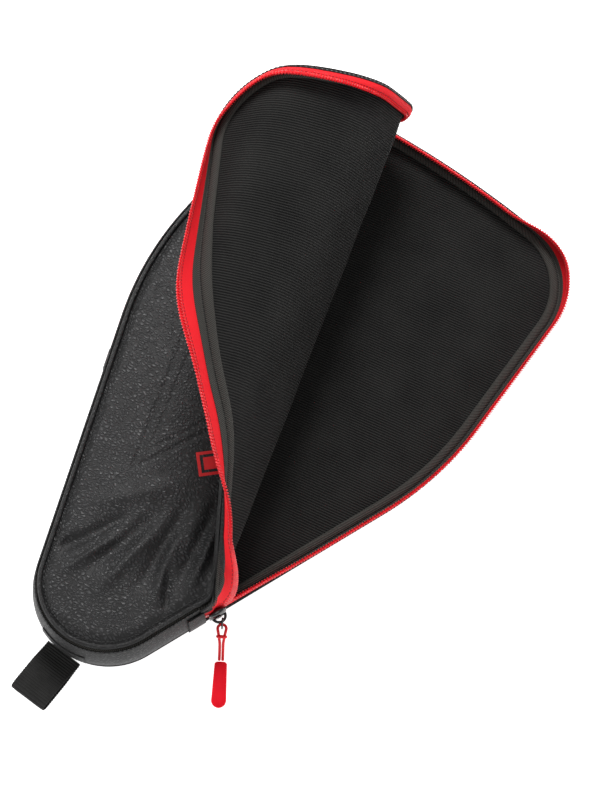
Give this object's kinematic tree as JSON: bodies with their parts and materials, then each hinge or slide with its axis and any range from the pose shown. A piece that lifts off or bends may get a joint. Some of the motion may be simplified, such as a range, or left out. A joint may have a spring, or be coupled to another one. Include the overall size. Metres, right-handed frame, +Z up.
{
  "type": "paddle case",
  "caption": "Padded teardrop case for a sports paddle, lying on its back, unzipped, with its front panel peeled over, a corded zip pull and a webbing hanging loop.",
  "frame": {"origin": "middle of the flat back face, on the case's centre line and half way along its length", "axes": "+Z up out of the case, away from the back face; +Y along the case from the handle end to the wide end; +X to the side where the unzipping slider stands"},
  "size_m": [0.2488, 0.473, 0.1425],
  "materials": {
    "leather": "pebbled black polyurethane leather with a soft sheen",
    "foam": "closed-cell foam sheet, hidden between leather and lining",
    "lining": "finely ribbed dark knitted lining, matte",
    "binding": "warm grey twill seam binding, matte",
    "zip_tape": "bright red woven zip tape, matte",
    "zip_coil": "red nylon coil, satin",
    "webbing": "black grosgrain webbing with ribs across it, matte",
    "slider_enamel": "gloss black enamel",
    "pull_cord": "braided red cord, satin",
    "pull_rubber": "moulded red rubber, satin",
    "emblem_print": "thin plain red rubber transfer"
  },
  "bodies": {
    "case": {"back_leather": "leather", "back_foam": "foam", "back_lining": "lining", "back_piping": "leather", "back_binding": "binding", "gusset_closed": "leather", "gusset_lower": "leather", "zip_tape_lower": "zip_tape", "zip_coil_lower": "zip_coil", "front_leather": "leather", "front_foam": "foam", "front_lining": "lining", "front_piping": "leather", "front_binding": "binding", "front_gusset": "leather", "front_zip_tape": "zip_tape", "front_zip_coil": "zip_coil", "zip_end_tab_near": "leather", "zip_end_tab_far": "leather", "loop_patch": "leather", "front_emblem": "emblem_print"},
    "strip_1": {"strip_1_panel": "leather", "strip_1_end_edge": "leather", "strip_1_end_zip": "zip_tape"},
    "strip_2": {"strip_2_panel": "leather", "strip_2_end_edge": "leather", "strip_2_end_zip": "zip_tape"},
    "strip_3": {"strip_3_leather": "leather", "strip_3_foam": "foam", "strip_3_lining": "lining", "strip_3_side_edge": "leather", "strip_3_side_zip": "zip_tape", "strip_3_end_edge": "leather", "strip_3_end_zip": "zip_tape"},
    "strip_4": {"strip_4_leather": "leather", "strip_4_foam": "foam", "strip_4_lining": "lining", "strip_4_side_edge": "leather", "strip_4_side_zip": "zip_tape", "strip_4_end_edge": "leather", "strip_4_end_zip": "zip_tape"},
    "flap": {"flap_leather": "leather", "flap_foam": "foam", "flap_lining": "lining", "flap_piping": "leather", "flap_binding": "binding", "flap_gusset": "leather", "flap_zip_tape": "zip_tape", "flap_zip_coil": "zip_coil"},
    "slider": {"zip_slider": "slider_enamel", "slider_bridge": "slider_enamel"},
    "puller": {"puller_ring": "slider_enamel"},
    "pull": {"pull_cord": "pull_cord", "pull_grip": "pull_rubber"},
    "loop": {"webbing_loop": "webbing"}
  },
  "joints": [
    {"name": "fold_1", "type": "hinge", "parent": "case", "child": "strip_1", "pos_m": [0.05685, -0.14788, 0.0383], "axis": [-0.3206, 0.9472, 0], "range_deg": [0, 37]},
    {"name": "fold_2", "type": "hinge", "parent": "strip_1", "child": "strip_2", "pos_m": [0.05813, -0.14297, 0.04041], "axis": [-0.298, 0.9544, 0.0179], "range_deg": [0, 37]},
    {"name": "fold_3", "type": "hinge", "parent": "strip_2", "child": "strip_3", "pos_m": [0.05774, -0.1386, 0.04372], "axis": [-0.2851, 0.9564, 0.0631], "range_deg": [0, 37]},
    {"name": "fold_4", "type": "hinge", "parent": "strip_3", "child": "strip_4", "pos_m": [0.01084, -0.06152, 0.10923], "axis": [-0.2451, 0.9684, -0.0461], "range_deg": [0, 43]},
    {"name": "fold_5", "type": "hinge", "parent": "strip_4", "child": "flap", "pos_m": [-0.0424, -0.01175, 0.1257], "axis": [-0.2906, 0.9566, -0.023], "range_deg": [0, 48]},
    {"name": "zip_slide", "type": "slide", "parent": "case", "child": "slider", "axis": [0.3551, 0.9348, 0], "range_m": [0, 0.11]},
    {"name": "pull_turn", "type": "hinge", "parent": "slider", "child": "puller", "pos_m": [0.07089, -0.14091, 0.019], "axis": [0, 0, 1], "range_deg": [-4, 74]},
    {"name": "pull_lift", "type": "hinge", "parent": "puller", "child": "pull", "pos_m": [0.07359, -0.14488, 0.019], "axis": [-0.8271, -0.5621, 0], "range_deg": [0, 30]},
    {"name": "loop_swing", "type": "hinge", "parent": "case", "child": "loop", "pos_m": [0, -0.2156, 0.0046], "axis": [-1, 0, 0], "range_deg": [0, 25]}
  ],
  "couplings": [
    {"joint": "fold_2", "follows": "fold_1", "ratio": 1},
    {"joint": "fold_3", "follows": "fold_1", "ratio": 1},
    {"joint": "fold_4", "follows": "fold_1", "ratio": 1.1621},
    {"joint": "fold_5", "follows": "fold_1", "ratio": 1.2972}
  ]
}
